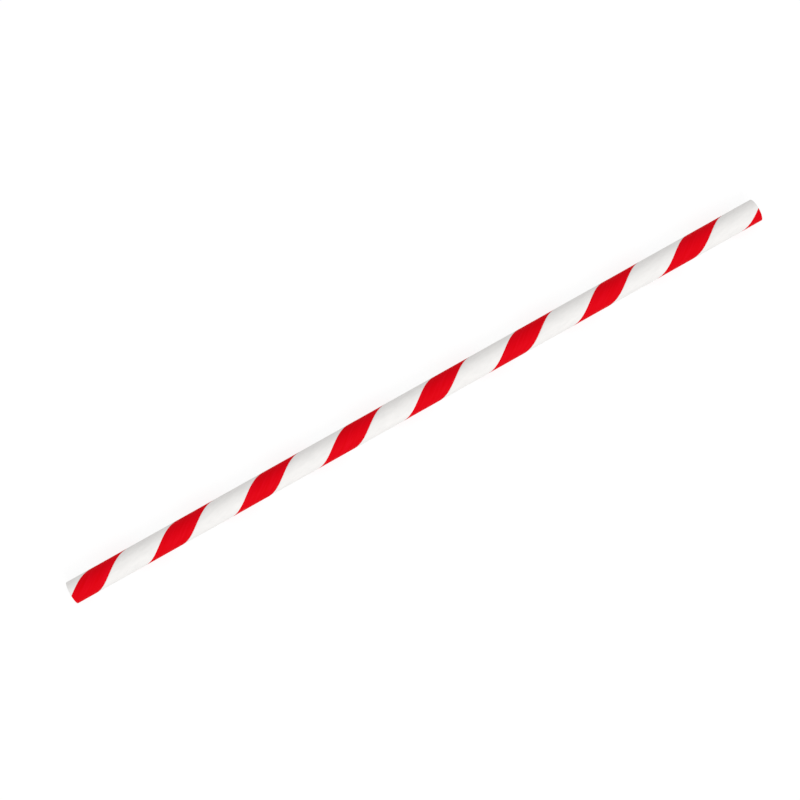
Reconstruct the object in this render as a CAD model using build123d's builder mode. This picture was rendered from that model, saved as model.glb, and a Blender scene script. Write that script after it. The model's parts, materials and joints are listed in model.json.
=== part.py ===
from build123d import *
from math import floor
import os

# Paper drinking straw: three glued plies wound on the slant into one straight tube, open at
# both ends. It lies along X on the plane z = 0, with x = 0 at the middle of its length.

# Size over all
LENGTH = 197.0
OUTER_DIAMETER = 6.0

# The wall, ply by ply, each as thick as its paper
INNER_PLY = 0.16
MIDDLE_PLY = 0.16
OUTER_PLY = 0.08

# The winding is left-handed. Each ply is one strip, which moves on by the lead in each turn
# and leaves a narrow gap between its own edges. The gap shows as a helical seam.
LEAD = 24.5
OUTER_SEAM_GAP = 0.12
INNER_SEAM_GAP = 0.16

# The inner seam is as deep as its ply. Glue fills the bottom of the outer one.
OUTER_SEAM_DEPTH = 0.055
INNER_SEAM_DEPTH = INNER_PLY

# Where the seams cross the top of the straw, next to the middle of its length. They are half
# a lead apart, because plies are laid so that no gap lies over another.
OUTER_SEAM_AT = 10.9
INNER_SEAM_AT = OUTER_SEAM_AT - LEAD / 2

# The knife that parts the tube presses a small bevel on its outer rims.
RIM_BEVEL = 0.05

# The soft paper tube has settled on a small flat spot, which runs along its whole underside.
FLAT_DEPTH = 0.07

OUTER_RADIUS = OUTER_DIAMETER / 2
BORE_RADIUS = OUTER_RADIUS - INNER_PLY - MIDDLE_PLY - OUTER_PLY
AXIS_HEIGHT = OUTER_RADIUS - FLAT_DEPTH

END_PLANE = Plane(origin=(-LENGTH / 2, 0, AXIS_HEIGHT), x_dir=(0, 1, 0), z_dir=(1, 0, 0))


def seam_turn(radius, depth, gap):
    """One turn of a seam on a cylinder round X: a ribbon that reaches its depth into the wall."""
    with BuildPart() as turn:
        with BuildLine() as path:
            Helix(pitch=LEAD, height=LEAD, radius=radius, direction=(1, 0, 0), lefthand=True)
        with BuildSketch(Plane(path.line @ 0, x_dir=(0, 0, 1), z_dir=path.line % 0)):
            Rectangle(2 * depth, gap)
        sweep(path=path.line, is_frenet=True)
    return turn.part


def turn_places(crosses_top_at):
    """The start of each turn on the axis, from the turn that one end cuts to the other's."""
    first = floor((-LENGTH / 2 - crosses_top_at) / LEAD)
    last = floor((LENGTH / 2 - crosses_top_at) / LEAD)
    return [(crosses_top_at + turn * LEAD, 0, AXIS_HEIGHT) for turn in range(first, last + 1)]


outer_seam_turn = seam_turn(OUTER_RADIUS, OUTER_SEAM_DEPTH, OUTER_SEAM_GAP)
inner_seam_turn = seam_turn(BORE_RADIUS, INNER_SEAM_DEPTH, INNER_SEAM_GAP)

with BuildPart() as paper_tube:
    # The wall, from one cut end to the other
    with BuildSketch(END_PLANE):
        Circle(OUTER_RADIUS)
        Circle(BORE_RADIUS, mode=Mode.SUBTRACT)
    extrude(amount=LENGTH)

    # The two outer rims
    rims = paper_tube.edges().filter_by(GeomType.CIRCLE).sort_by(SortBy.RADIUS)[-2:]
    chamfer(rims, RIM_BEVEL)

    # The seam of the outer ply, open to the outside
    with Locations(*turn_places(OUTER_SEAM_AT)):
        add(outer_seam_turn, mode=Mode.SUBTRACT)

    # The seam of the inner ply, open to the bore
    with Locations(*turn_places(INNER_SEAM_AT)):
        add(inner_seam_turn, mode=Mode.SUBTRACT)

    # The flat spot, which leaves nothing below z = 0
    split(bisect_by=Plane.XY)

paper_tube.part.label = "paper_tube"

os.makedirs("parts", exist_ok=True)
export_step(paper_tube.part, "parts/paper_tube.step")
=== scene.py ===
import json
from collections import namedtuple
from math import ceil, cos, floor, hypot, pi, radians, sin, tau

import bmesh
import bpy
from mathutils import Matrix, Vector, noise
from mathutils.geometry import delaunay_2d_cdt


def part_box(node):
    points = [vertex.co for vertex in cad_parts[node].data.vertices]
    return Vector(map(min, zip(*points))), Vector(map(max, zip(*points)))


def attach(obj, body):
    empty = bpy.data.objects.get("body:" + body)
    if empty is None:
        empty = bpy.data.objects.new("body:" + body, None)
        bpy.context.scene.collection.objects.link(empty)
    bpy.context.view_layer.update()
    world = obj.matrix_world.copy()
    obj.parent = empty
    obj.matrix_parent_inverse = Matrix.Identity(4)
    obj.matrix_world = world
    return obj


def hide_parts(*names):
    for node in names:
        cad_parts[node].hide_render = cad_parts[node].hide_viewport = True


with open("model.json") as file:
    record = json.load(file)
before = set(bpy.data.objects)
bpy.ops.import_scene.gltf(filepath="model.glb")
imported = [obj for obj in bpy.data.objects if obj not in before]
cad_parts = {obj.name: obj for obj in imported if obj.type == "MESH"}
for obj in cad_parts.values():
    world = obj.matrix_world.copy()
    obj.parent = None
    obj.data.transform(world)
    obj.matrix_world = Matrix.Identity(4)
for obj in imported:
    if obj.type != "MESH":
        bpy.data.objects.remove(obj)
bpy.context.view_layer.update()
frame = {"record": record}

# Lengths are in metres. MM turns a size that reads better in millimetres into metres.
MM = 0.001

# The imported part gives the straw's length, its outside, its bore and its axis.
NODE = "paper_tube"
BODY = "root"
low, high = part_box(NODE)
mounts = {mount["name"]: mount for mount in frame["record"]["mounts"]}
AXIS_Z = mounts["bore"]["pos_m"][2]
BORE_RADIUS = mounts["bore"]["dims"]["r_mm"] * MM
OUTER_RADIUS = min(high.z - AXIS_Z, high.y, -low.y)
LENGTH = high.x - low.x

# The wound plies and their seams. The winding is left-handed. A seam's place is where it
# crosses the top of the straw. Glue fills the bottom of the outer seam.
LEAD = 24.5 * MM
OUTER_PLY = 0.08 * MM
INNER_PLY = 0.16 * MM
OUTER_SEAM_GAP = 0.12 * MM
INNER_SEAM_GAP = 0.16 * MM
OUTER_SEAM_DEPTH = 0.055 * MM
INNER_SEAM_DEPTH = INNER_PLY
OUTER_SEAM_AT = 10.9 * MM
INNER_SEAM_AT = OUTER_SEAM_AT - LEAD / 2

# The paper's edge on both sides of a seam is pressed down a little, and isn't quite even.
# A third of the way across the pressed lip, a third of its drop is left.
LIP_DROP = 0.014 * MM
LIP_WIDTH = 0.05 * MM
LIP_KNEE = 1 / 3
SEAM_WANDER = 0.022 * MM
WANDERS_PER_TURN = 9.0

# The red stripe's width along the axis. It is printed up to the outer strip's edge.
STRIPE_WIDTH = 10.62 * MM

# The knife presses the outer rims round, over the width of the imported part's bevel.
RIM_BEVEL = 0.05 * MM
RIM_START = LENGTH / 2 - RIM_BEVEL
BEVEL_STEPS = 4

# How finely the skins are divided, round the axis and along it
OUTER_STEPS = 132
BORE_STEPS = 108
OUTER_COLUMN = 0.9 * MM
BORE_COLUMN = 1.2 * MM

# The cut ends show the plies, with a glue line between them, and a fibrous surface.
GLUE_RADII = (BORE_RADIUS + INNER_PLY, OUTER_RADIUS - OUTER_PLY)
GLUE_DEPTH = 0.025 * MM
GLUE_HALF_WIDTH = 0.008 * MM
FUZZ_DEPTH = 0.016 * MM
FUZZ_SIZE = 0.15 * MM
END_RINGS = 9
END_STEPS = 160
END_CLEARANCE = 0.009 * MM

# The flat map: the straw's length in parts, one above the other, the outside's in one column
# and the bore's in the next, with the two ends above the second. A seam's floor takes a share
# of the seam's width on it, and the seam's walls take the rest.
MAP_NAME = "OFBake"
MAP_SEAM_FLOOR = 1 / 3
MAP_PARTS = 5
MAP_GAP = 1.2 * MM
MAP_REACH = LENGTH / MAP_PARTS
MAP_SIZE = MAP_PARTS * (tau * OUTER_RADIUS + MAP_GAP) + MAP_GAP
MAP_SECOND_COLUMN = MAP_REACH + 3 * MAP_GAP
MAP_ENDS_V = MAP_PARTS * (tau * BORE_RADIUS + MAP_GAP) + 2 * MAP_GAP + OUTER_RADIUS
MAP_ENDS_U = {
    -1: MAP_SECOND_COLUMN + MAP_GAP + OUTER_RADIUS,
    1: MAP_SECOND_COLUMN + 3 * MAP_GAP + 3 * OUTER_RADIUS,
}

# The straw's materials, in the order of its mesh's material numbers
PRINTED, BARE, CUT = range(3)

# Faces that meet at more than this angle have a sharp edge between them.
SHARP_ANGLE = radians(32)

# Places this near a cut's plane are on it: for the cut itself, and for the edge it leaves.
CUT_TOLERANCE = 1e-8
EDGE_TOLERANCE = 1e-7

# In the end's triangles, points this near each other are one. It is in millimetres. The other
# number asks Blender for triangles out to the outline's convex hull.
POINT_TOLERANCE = 1e-6
OUT_TO_HULL = 0

# Places this far apart in a noise have nothing in common.
NOISE_APART = 7.3

# A skin is the outside or the bore. A column is a line of its grid that winds with the strip.
Skin = namedtuple("Skin", "seam_at columns steps radius_at map_u circumference material")
Column = namedtuple("Column", "offset depth flat side")


def outside_at(angle):
    """The outside's distance from the axis, at this angle from the top of the straw.

    It is less at the bottom, where the straw lies on a flat spot at z = 0.
    """
    down = -cos(angle)
    return min(OUTER_RADIUS, AXIS_Z / down) if down > 0 else OUTER_RADIUS


def lead_columns(radius, gap, depth, spacing):
    """One lead of a skin, from the middle of a seam to the middle of the next.

    The gap is measured across the strip, and is wider along the axis. A column has its offset
    along the axis, its depth in the wall, its offset on the flat map, where the seam's upright
    walls need a width, and the side of the seam that it borders.
    """
    half = gap / 2 * hypot(LEAD, tau * radius) / (tau * radius)
    knee = half + LIP_KNEE * LIP_WIDTH
    after = [
        Column(0, depth, 0, 0),
        Column(half, depth, half * MAP_SEAM_FLOOR, 1),
        Column(half, LIP_DROP, half, 1),
        Column(knee, LIP_KNEE * LIP_DROP, knee, 1),
        Column(half + LIP_WIDTH, 0, half + LIP_WIDTH, 0),
    ]
    # The columns before the next seam mirror those after this one.
    before = [Column(LEAD - c.offset, c.depth, LEAD - c.flat, -c.side) for c in after[:0:-1]]
    start = after[-1].offset
    plain = ceil((LEAD - 2 * start) / spacing)
    step = (LEAD - 2 * start) / plain
    middle = [Column(start + step * i, 0, start + step * i, 0) for i in range(1, plain)]
    return after + middle + before


def map_skin_face(face, uv, skin, flats, rows):
    """Lays a skin's face on the flat map, with the part of the straw's length that it is in."""
    along = sum(flats) / len(flats) + LENGTH / 2
    part = min(max(int(along / MAP_REACH), 0), MAP_PARTS - 1)
    for loop, flat, row in zip(face.loops, flats, rows):
        u = skin.map_u + MAP_GAP + flat + LENGTH / 2 - part * MAP_REACH
        v = MAP_GAP + part * (skin.circumference + MAP_GAP)
        v += row / skin.steps * skin.circumference
        loop[uv].uv = u / MAP_SIZE, v / MAP_SIZE


def wind_skin(bm, uv, skin):
    """A tube's skin as a grid whose columns wind with the plies, longer than the straw.

    Round the axis, the grid's last row meets its first one lead further along. So the last
    lead has no faces of its own, and its first row ends the lead before it.
    """
    first = floor((-LENGTH / 2 - skin.seam_at) / LEAD) - 1
    last = ceil((LENGTH / 2 - skin.seam_at) / LEAD)
    count = len(skin.columns)

    def turns_to(index, row):
        return first + index // count + row / skin.steps

    def vertex_at(index, row):
        column = skin.columns[index % count]
        turns = turns_to(index, row)
        wander = 0.0
        if column.side:
            side = column.side * NOISE_APART
            spot = Vector((turns * WANDERS_PER_TURN, side, skin.seam_at / MM))
            wander = SEAM_WANDER * noise.noise(spot)
        x = skin.seam_at + turns * LEAD + column.offset + wander
        angle = row / skin.steps * tau
        radius = skin.radius_at(angle, column.depth)
        return bm.verts.new((x, radius * sin(angle), AXIS_Z + radius * cos(angle)))

    def flat_x(index, row):
        return skin.seam_at + turns_to(index, row) * LEAD + skin.columns[index % count].flat

    total = (last - first + 1) * count
    grid = [[vertex_at(index, row) for row in range(skin.steps)] for index in range(total)]
    for index in range(total - count - 1):
        pair = skin.columns[index % count], skin.columns[(index + 1) % count]
        in_seam = all(column.depth >= LIP_DROP for column in pair)
        for row in range(skin.steps):
            places = ((index, row), (index + 1, row), (index + 1, row + 1), (index, row + 1))
            corners = [grid[i][j] if j < skin.steps else grid[i + count][0] for i, j in places]
            face = bm.faces.new(corners)
            face.material_index = BARE if in_seam else skin.material
            flats = [flat_x(i, j) for i, j in places]
            map_skin_face(face, uv, skin, flats, [j for _, j in places])


def cut_off(bm, x, end):
    """Cuts the skin off square at this x, towards the straw's end on this side."""
    bmesh.ops.bisect_plane(
        bm,
        geom=bm.verts[:] + bm.edges[:] + bm.faces[:],
        dist=CUT_TOLERANCE,
        plane_co=(x, 0, 0),
        plane_no=(end, 0, 0),
        clear_outer=True,
    )


def open_outline(bm, x):
    """The open edge of a skin in the plane at this x, as vertices in order round the axis."""
    def in_plane(edge):
        return all(abs(vert.co.x - x) < EDGE_TOLERANCE for vert in edge.verts)

    edges = [edge for edge in bm.edges if edge.is_boundary and in_plane(edge)]
    beside = {}
    for edge in edges:
        for vert in edge.verts:
            beside.setdefault(vert, []).append(edge.other_vert(vert))
    ordered = [edges[0].verts[0]]
    ahead = edges[0].verts[1]
    while ahead is not ordered[0]:
        behind = ordered[-1]
        ordered.append(ahead)
        ahead = next(vert for vert in beside[ahead] if vert is not behind)
    return ordered


def across(vert):
    """A vertex's place in the straw's cross section."""
    return Vector((vert.co.y, vert.co.z - AXIS_Z))


def map_end(face, uv, end):
    """Lays a face near a cut end on the flat map, opened out like a disc."""
    for loop in face.loops:
        place = across(loop.vert)
        depth = LENGTH / 2 - abs(loop.vert.co.x)
        place *= (place.length + depth) / place.length
        loop[uv].uv = (MAP_ENDS_U[end] + place.x) / MAP_SIZE, (MAP_ENDS_V + place.y) / MAP_SIZE


def round_rim(bm, uv, outline, end):
    """The pressed rim, from the outer skin's open edge to the cut. Returns the edge there."""
    for step in range(1, BEVEL_STEPS + 1):
        turn = step / BEVEL_STEPS * pi / 2
        x = end * (RIM_START + RIM_BEVEL * sin(turn))
        limit = OUTER_RADIUS - RIM_BEVEL + RIM_BEVEL * cos(turn)
        ring = []
        for vert in outline:
            place = across(vert)
            place *= min(place.length, limit) / place.length
            ring.append(bm.verts.new((x, place.x, place.y + AXIS_Z)))
        for i, vert in enumerate(outline):
            face = bm.faces.new((outline[i - 1], vert, ring[i], ring[i - 1]))
            face.material_index = PRINTED
            map_end(face, uv, end)
        outline = ring
    return outline


def inside(place, outline):
    """Whether a place in the cross section is inside a closed outline."""
    crossings = 0
    for one, two in zip(outline, outline[1:] + outline[:1]):
        if (one.y > place.y) != (two.y > place.y):
            share = (place.y - one.y) / (two.y - one.y)
            crossings += place.x < one.x + share * (two.x - one.x)
    return crossings % 2 == 1


def in_wall(place, rim, bore, clearance=0.0):
    """Whether a place in the cross section is in the wall, this far clear of its edges."""
    out = place.normalized() * clearance
    aside = Vector((-out.y, out.x))
    shifts = (out, -out, aside, -aside) if clearance else (out,)
    spots = [place + shift for shift in shifts]
    return all(inside(spot, rim) and not inside(spot, bore) for spot in spots)


def ring_radii():
    """The radii of a cut end's rings. Three of them make a glue line: its edges and bottom."""
    spacing = (OUTER_RADIUS - RIM_BEVEL - BORE_RADIUS) / (END_RINGS + 1)
    even = [BORE_RADIUS + spacing * (i + 1) for i in range(END_RINGS)]
    apart = 2 * GLUE_HALF_WIDTH
    radii = [radius for radius in even if all(abs(radius - glue) > apart for glue in GLUE_RADII)]
    for glue in GLUE_RADII:
        radii += [glue - GLUE_HALF_WIDTH, glue, glue + GLUE_HALF_WIDTH]
    return radii


def close_end(bm, uv, rim_verts, bore_verts, end):
    """The cut end: the wall's section in rings, with a sunk glue line between two plies."""
    rim = [across(vert) for vert in rim_verts]
    bore = [across(vert) for vert in bore_verts]
    verts = rim_verts + bore_verts
    places = rim + bore
    edges = [(i, (i + 1) % len(rim)) for i in range(len(rim))]
    edges += [(len(rim) + i, len(rim) + (i + 1) % len(bore)) for i in range(len(bore))]
    for radius in ring_radii():
        sunk = GLUE_DEPTH if radius in GLUE_RADII else 0.0
        ring = []
        for step in range(END_STEPS):
            angle = step / END_STEPS * tau
            place = Vector((sin(angle), cos(angle))) * radius
            if in_wall(place, rim, bore, END_CLEARANCE):
                spot = Vector((*(place / FUZZ_SIZE), end * NOISE_APART))
                fuzz = (1 + noise.noise(spot)) / 2
                x = end * (LENGTH / 2 - sunk - FUZZ_DEPTH * fuzz)
                ring.append((step, len(verts)))
                verts.append(bm.verts.new((x, place.x, place.y + AXIS_Z)))
                places.append(place)
        # A ring is broken where a seam crosses it.
        for (one, i), (two, j) in zip(ring, ring[1:] + ring[:1]):
            if (two - one) % END_STEPS == 1 and in_wall((places[i] + places[j]) / 2, rim, bore):
                edges.append((i, j))

    flat = [place / MM for place in places]
    found = delaunay_2d_cdt(flat, edges, [], OUT_TO_HULL, POINT_TOLERANCE)
    corners, triangles, came_from = found[0], found[2], found[3]
    for triangle in triangles:
        middle = sum((corners[i] for i in triangle), Vector((0, 0))) * MM / len(triangle)
        if in_wall(middle, rim, bore):
            face = bm.faces.new([verts[came_from[i][0]] for i in triangle])
            face.material_index = CUT
            map_end(face, uv, end)


def straw_mesh():
    """The whole straw as one closed mesh: both skins, the rims and the cut ends."""
    outer = Skin(
        seam_at=OUTER_SEAM_AT,
        columns=lead_columns(OUTER_RADIUS, OUTER_SEAM_GAP, OUTER_SEAM_DEPTH, OUTER_COLUMN),
        steps=OUTER_STEPS,
        radius_at=lambda angle, depth: outside_at(angle) - depth,
        map_u=0.0,
        circumference=tau * OUTER_RADIUS,
        material=PRINTED,
    )
    bore = Skin(
        seam_at=INNER_SEAM_AT,
        columns=lead_columns(BORE_RADIUS, INNER_SEAM_GAP, INNER_SEAM_DEPTH, BORE_COLUMN),
        steps=BORE_STEPS,
        radius_at=lambda angle, depth: BORE_RADIUS + depth,
        map_u=MAP_SECOND_COLUMN,
        circumference=tau * BORE_RADIUS,
        material=BARE,
    )
    bm = bmesh.new()
    uv = bm.loops.layers.uv.new(MAP_NAME)
    wind_skin(bm, uv, outer)
    for end in (-1, 1):
        cut_off(bm, end * RIM_START, end)
    wind_skin(bm, uv, bore)
    for end in (-1, 1):
        cut_off(bm, end * LENGTH / 2, end)
    for end in (-1, 1):
        mouth = open_outline(bm, end * LENGTH / 2)
        rim = round_rim(bm, uv, open_outline(bm, end * RIM_START), end)
        close_end(bm, uv, rim, mouth, end)
    bmesh.ops.recalc_face_normals(bm, faces=bm.faces[:])
    for face in bm.faces:
        face.smooth = True
    mesh = bpy.data.meshes.new("straw")
    bm.to_mesh(mesh)
    bm.free()
    mesh.set_sharp_from_angle(angle=SHARP_ANGLE)
    return mesh


class Graph:
    """One material's node tree, with short calls that add a node and wire its inputs."""

    def __init__(self, name):
        self.material = bpy.data.materials.new(name)
        self.material.use_nodes = True
        self.tree = self.material.node_tree
        self.shader = self.tree.nodes["Principled BSDF"]

    def wire(self, socket, value):
        """Gives an input a plain value, or links it to the output that is its value."""
        if isinstance(value, bpy.types.NodeSocket):
            self.tree.links.new(value, socket)
        else:
            socket.default_value = value

    def add(self, kind, inputs=None, **settings):
        """A new node, with its settings made and its inputs wired."""
        node = self.tree.nodes.new(kind)
        for key, value in settings.items():
            setattr(node, key, value)
        for key, value in (inputs or {}).items():
            self.wire(node.inputs[key], value)
        return node

    def math(self, operation, *values):
        """The result of one sum on these values."""
        node = self.add("ShaderNodeMath", operation=operation)
        for socket, value in zip(node.inputs, values):
            self.wire(socket, value)
        return node.outputs[0]

    def stretched(self, vector, scale):
        """A vector whose first part is scaled, so that a noise is longer that way."""
        parts = {0: vector, 1: (scale, 1.0, 1.0)}
        return self.add("ShaderNodeVectorMath", parts, operation="MULTIPLY").outputs[0]

    def noise(self, vector, size, detail=3.0, roughness=0.5):
        """Noise of about this size, in metres, from 0 to 1."""
        values = {"Vector": vector, "Scale": 1 / size, "Detail": detail, "Roughness": roughness}
        return self.add("ShaderNodeTexNoise", values).outputs[0]

    def between(self, value, start, end, least=0.0, most=1.0, smooth=False):
        """From least to most, as the value goes from start to end."""
        kind = "SMOOTHSTEP" if smooth else "LINEAR"
        ends = {"From Min": start, "From Max": end, "To Min": least, "To Max": most}
        inputs = {"Value": value, **ends}
        return self.add("ShaderNodeMapRange", inputs, interpolation_type=kind).outputs[0]

    def mixed(self, share, one, two):
        """One colour where the share is 0, and the other where it is 1."""
        node = self.add("ShaderNodeMix", data_type="RGBA")
        self.wire(node.inputs["Factor"], share)
        self.wire(node.inputs["A"], one)
        self.wire(node.inputs["B"], two)
        return node.outputs["Result"]

    def weighed(self, share, one, two):
        """This share of one value and the rest of the other."""
        rest = self.math("MULTIPLY", two, 1 - share)
        return self.math("MULTIPLY_ADD", one, share, rest)

    def surface(self, colour, roughness, specular, height, depth):
        """The shader's inputs, with bump from a height of 0 to 1, this deep in metres."""
        bump = self.add("ShaderNodeBump", {"Height": height, "Distance": depth, "Strength": 1.0})
        inputs = {
            "Base Color": colour,
            "Roughness": roughness,
            "Specular IOR Level": specular,
            "Normal": bump.outputs[0],
        }
        for key, value in inputs.items():
            self.wire(self.shader.inputs[key], value)


def place_on_strip(graph, radius, seam_at):
    """How far a point is across its wound strip, from 0 to 1, and its place on the strip."""
    place = graph.add("ShaderNodeTexCoord").outputs["Object"]
    split = graph.add("ShaderNodeSeparateXYZ", {0: place})
    level = graph.math("SUBTRACT", split.outputs["Z"], AXIS_Z)
    angle = graph.math("DIVIDE", graph.math("ARCTAN2", split.outputs["Y"], level), tau)
    leads = graph.math("DIVIDE", graph.math("SUBTRACT", split.outputs["X"], seam_at), LEAD)
    turns = graph.math("SUBTRACT", leads, angle)
    share = graph.math("FRACT", turns)
    per_turn = hypot(LEAD, tau * radius)
    wound = graph.math("ADD", graph.math("FLOOR", turns), angle)
    along = graph.math("MULTIPLY", wound, per_turn)
    cross = graph.math("MULTIPLY", share, LEAD * tau * radius / per_turn)
    strip = graph.add("ShaderNodeCombineXYZ", {"X": along, "Y": cross}).outputs[0]
    return share, strip


# The outer strip's face: white paper, its clouds, the red ink, and the ink where it is thin
WHITE_PAPER = (0.908, 0.893, 0.876, 1.0)
WHITE_CLOUD = (0.860, 0.848, 0.834, 1.0)
RED_INK = (0.730, 0.0005, 0.0052, 1.0)
RED_THIN = (0.790, 0.0022, 0.0125, 1.0)
PRINTED_ROUGHNESS = (0.56, 0.68)
PRINTED_SPECULAR = 0.02
INK_SMOOTHING = 0.1

# How the ink varies: in long streaks, with the fibres, and along the ragged edge of the stripe
STREAK_SIZE = 0.44 * MM
STREAK_STRETCH = 0.05
STREAK_DETAIL = 2.0
STREAK_SHARE = 0.6
INK_RANGE = (0.42, 0.68)
INK_EDGE = 0.022 * MM
INK_EDGE_SIZE = 0.2 * MM

# The unprinted paper and its clouds
BARE_PAPER = (0.875, 0.868, 0.855, 1.0)
BARE_CLOUD = (0.825, 0.817, 0.802, 1.0)
BARE_ROUGHNESS = (0.72, 0.84)
BARE_SPECULAR = 0.2

# The cut paper, and a darker tone that is painted shade in the hollows between its fibres
CUT_PAPER = (0.86, 0.85, 0.83, 1.0)
CUT_PAINTED_SHADE = (0.72, 0.705, 0.68, 1.0)
CUT_ROUGHNESS = (0.82, 0.94)
CUT_SPECULAR = 0.15

# The clouds and fibres of all the paper. Its fibres lie along the strip. A low stretch makes
# them long, and fineness is how strong the finer steps of their noise are.
CLOUD_SIZE = 1.6 * MM
CLOUD_RANGE = (0.35, 0.7)
FIBRE_SIZE = 0.11 * MM
FIBRE_STRETCH = 0.22
FIBRE_FINENESS = 0.6
FIBRE_DEPTH = 0.012 * MM
FIBRE_RANGE = (0.3, 0.7)

# The bare paper's fibres are coarser and shorter. The cut's are finer and stand out more.
BARE_FIBRE_SIZE = 1.4 * FIBRE_SIZE
BARE_FIBRE_STRETCH = 2 * FIBRE_STRETCH
CUT_FIBRE_SIZE = 0.6 * FIBRE_SIZE
CUT_FIBRE_FINENESS = 0.65
CUT_FIBRE_DEPTH = 2 * FIBRE_DEPTH
# Over this range of the fibre noise, the cut's colour goes over to the painted shade.
CUT_PAINTED_SHADE_RANGE = (0.35, 0.7)


def printed_paper():
    """The outer strip's face: white paper with fine fibres, printed with a red stripe."""
    graph = Graph("printed_paper")
    share, strip = place_on_strip(graph, OUTER_RADIUS, OUTER_SEAM_AT)
    along_fibres = graph.stretched(strip, FIBRE_STRETCH)
    fibres = graph.noise(along_fibres, FIBRE_SIZE, roughness=FIBRE_FINENESS)
    cloudy = graph.between(graph.noise(strip, CLOUD_SIZE), *CLOUD_RANGE)
    white = graph.mixed(cloudy, WHITE_PAPER, WHITE_CLOUD)

    along_streaks = graph.stretched(strip, STREAK_STRETCH)
    streaks = graph.noise(along_streaks, STREAK_SIZE, detail=STREAK_DETAIL)
    thin = graph.weighed(STREAK_SHARE, streaks, fibres)
    red = graph.mixed(graph.between(thin, *INK_RANGE), RED_INK, RED_THIN)

    reach = INK_EDGE / LEAD
    ragged = graph.noise(strip, INK_EDGE_SIZE, roughness=FIBRE_FINENESS)
    edge = graph.math("ADD", share, graph.between(ragged, *FIBRE_RANGE, -reach, reach))
    start = 1.0 - STRIPE_WIDTH / LEAD
    stripe = graph.between(edge, start - reach / 2, start + reach / 2, smooth=True)

    colour = graph.mixed(stripe, white, red)
    rough = graph.between(fibres, *FIBRE_RANGE, *PRINTED_ROUGHNESS)
    rough = graph.math("SUBTRACT", rough, graph.math("MULTIPLY", stripe, INK_SMOOTHING))
    graph.surface(colour, rough, PRINTED_SPECULAR, fibres, FIBRE_DEPTH)
    return graph.material


def bare_paper():
    """Unprinted paper: the bore, and the floor and walls of both seams."""
    graph = Graph("bare_paper")
    _, strip = place_on_strip(graph, BORE_RADIUS, INNER_SEAM_AT)
    along_fibres = graph.stretched(strip, BARE_FIBRE_STRETCH)
    fibres = graph.noise(along_fibres, BARE_FIBRE_SIZE, roughness=FIBRE_FINENESS)
    cloudy = graph.between(graph.noise(strip, CLOUD_SIZE), *CLOUD_RANGE)
    colour = graph.mixed(cloudy, BARE_PAPER, BARE_CLOUD)
    rough = graph.between(fibres, *FIBRE_RANGE, *BARE_ROUGHNESS)
    graph.surface(colour, rough, BARE_SPECULAR, fibres, FIBRE_DEPTH)
    return graph.material


def cut_paper():
    """The knife's cut across the plies: matt, fibrous and a little greyer, with painted shade
    between its fibres.
    """
    graph = Graph("cut_paper")
    place = graph.add("ShaderNodeTexCoord").outputs["Object"]
    fibres = graph.noise(place, CUT_FIBRE_SIZE, roughness=CUT_FIBRE_FINENESS)
    # Painted shade: the fibre noise darkens the cut's colour, standing in for shade between its
    # fibres.
    colour = graph.mixed(graph.between(fibres, *CUT_PAINTED_SHADE_RANGE), CUT_PAPER, CUT_PAINTED_SHADE)
    rough = graph.between(fibres, *FIBRE_RANGE, *CUT_ROUGHNESS)
    graph.surface(colour, rough, CUT_SPECULAR, fibres, CUT_FIBRE_DEPTH)
    return graph.material


def make_straw():
    """The straw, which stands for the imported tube."""
    mesh = straw_mesh()
    for material in (printed_paper(), bare_paper(), cut_paper()):
        mesh.materials.append(material)
    straw = bpy.data.objects.new("straw", mesh)
    bpy.context.scene.collection.objects.link(straw)
    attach(straw, BODY)
    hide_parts(NODE)


# The floor and the light. The floor is a hair under the straw's flat spot. Its glow shows to
# the camera and in reflections alone. The key is the lamp, and its elevation is in degrees.
FLOOR_HALF = 3.0
FLOOR_Z = -0.02 * MM
FLOOR_COLOUR = (0.65, 0.65, 0.65, 1.0)
FLOOR_ROUGHNESS = 0.9
FLOOR_GLOW = 1.2
FLOOR_GLOW_SHARE = 0.7
SKY_COLOUR = (1.0, 1.0, 1.0, 1.0)
SKY_LEVEL = 0.78
KEY_DISTANCE = 0.6
KEY_SIZE = 0.35
KEY_POWER = 1.1
KEY_ELEVATION = 45.0


def seen_directly(tree):
    """1 for rays from the camera, a mirror or glass, and 0 for those that light the object."""
    path = tree.nodes.new("ShaderNodeLightPath")
    seen = path.outputs["Is Camera Ray"]
    for name in ("Is Glossy Ray", "Is Transmission Ray"):
        either = tree.nodes.new("ShaderNodeMath")
        either.operation = "MAXIMUM"
        tree.links.new(seen, either.inputs[0])
        tree.links.new(path.outputs[name], either.inputs[1])
        seen = either.outputs[0]
    return seen


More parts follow.
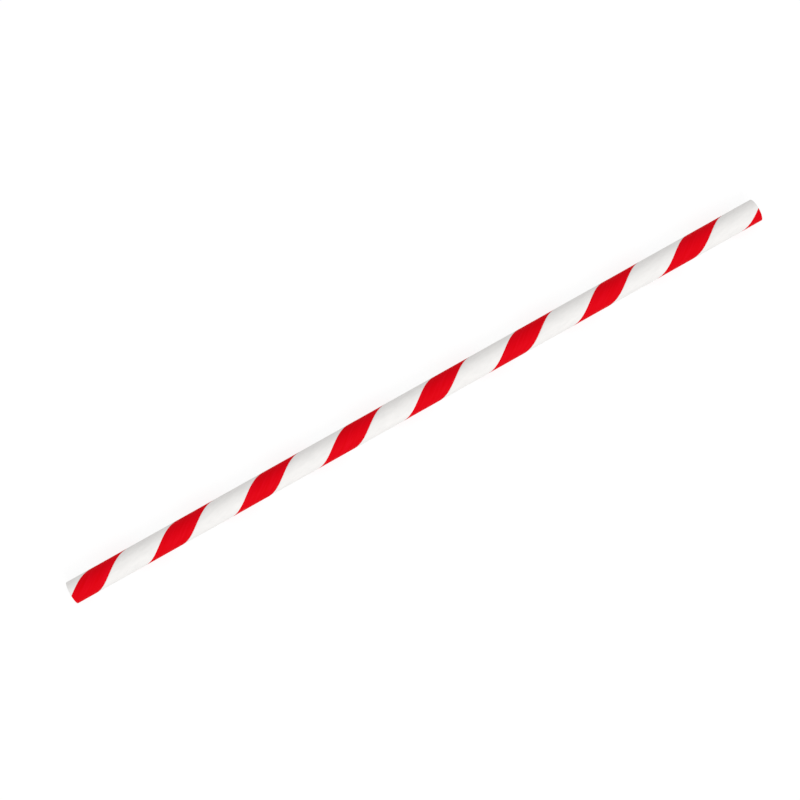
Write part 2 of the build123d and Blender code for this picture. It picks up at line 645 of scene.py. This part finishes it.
def make_floor():
    """A plain pale floor that keeps the straw's shadow and is white to the camera."""
    mesh = bpy.data.meshes.new("floor")
    corners = [(-1, -1), (1, -1), (1, 1), (-1, 1)]
    places = [(x * FLOOR_HALF, y * FLOOR_HALF, FLOOR_Z) for x, y in corners]
    mesh.from_pydata(places, [], [(0, 1, 2, 3)])
    ground = bpy.data.objects.new("floor", mesh)
    bpy.context.scene.collection.objects.link(ground)
    material = bpy.data.materials.new("floor")
    material.use_nodes = True
    tree = material.node_tree
    shader = tree.nodes["Principled BSDF"]
    shader.inputs["Base Color"].default_value = FLOOR_COLOUR
    shader.inputs["Roughness"].default_value = FLOOR_ROUGHNESS
    shader.inputs["Specular IOR Level"].default_value = 0.0
    glow = tree.nodes.new("ShaderNodeEmission")
    glow.inputs["Strength"].default_value = FLOOR_GLOW
    share = tree.nodes.new("ShaderNodeMath")
    share.operation = "MULTIPLY"
    share.inputs[1].default_value = FLOOR_GLOW_SHARE
    tree.links.new(seen_directly(tree), share.inputs[0])
    mix = tree.nodes.new("ShaderNodeMixShader")
    tree.links.new(share.outputs[0], mix.inputs[0])
    tree.links.new(shader.outputs[0], mix.inputs[1])
    tree.links.new(glow.outputs[0], mix.inputs[2])
    tree.links.new(mix.outputs[0], tree.nodes["Material Output"].inputs["Surface"])
    mesh.materials.append(material)


def make_light():
    """Even light from the whole sky, and a large soft lamp from the lower right of the view."""
    world = bpy.data.worlds.new("studio")
    world.use_nodes = True
    tree = world.node_tree
    level = tree.nodes.new("ShaderNodeMapRange")
    level.inputs["To Min"].default_value = SKY_LEVEL
    level.inputs["To Max"].default_value = 1.0
    tree.links.new(seen_directly(tree), level.inputs["Value"])
    sky = tree.nodes["Background"]
    sky.inputs["Color"].default_value = SKY_COLOUR
    tree.links.new(level.outputs[0], sky.inputs["Strength"])
    bpy.context.scene.world = world

    lamp = bpy.data.lights.new("key", "AREA")
    lamp.shape = "DISK"
    lamp.size = KEY_SIZE
    lamp.energy = KEY_POWER
    key = bpy.data.objects.new("key", lamp)
    rise = radians(KEY_ELEVATION)
    key.location = KEY_DISTANCE * Vector((0, -cos(rise), sin(rise)))
    key.rotation_euler = (pi / 2 - rise, 0, 0)
    bpy.context.scene.collection.objects.link(key)


# The camera looks almost straight down, from a little nearer the straw's left end. Its turn
# is in degrees.
CAMERA_PLACE = (-18.06 * MM, 0.0, 403.0 * MM)
CAMERA_TURN = (1.2547, -1.6436, -29.2562)
CAMERA_LENS = 71.734
CAMERA_CLIP = (0.01, 20.0)


def make_camera():
    """The camera, at the photograph's viewing angle."""
    camera = bpy.data.cameras.new("camera")
    camera.lens = CAMERA_LENS
    camera.clip_start, camera.clip_end = CAMERA_CLIP
    view = bpy.data.objects.new("camera", camera)
    view.location = CAMERA_PLACE
    view.rotation_euler = [radians(angle) for angle in CAMERA_TURN]
    bpy.context.scene.collection.objects.link(view)
    bpy.context.scene.camera = view


make_straw()
make_floor()
make_light()
make_camera()
bpy.context.scene.view_settings.view_transform = "Standard"
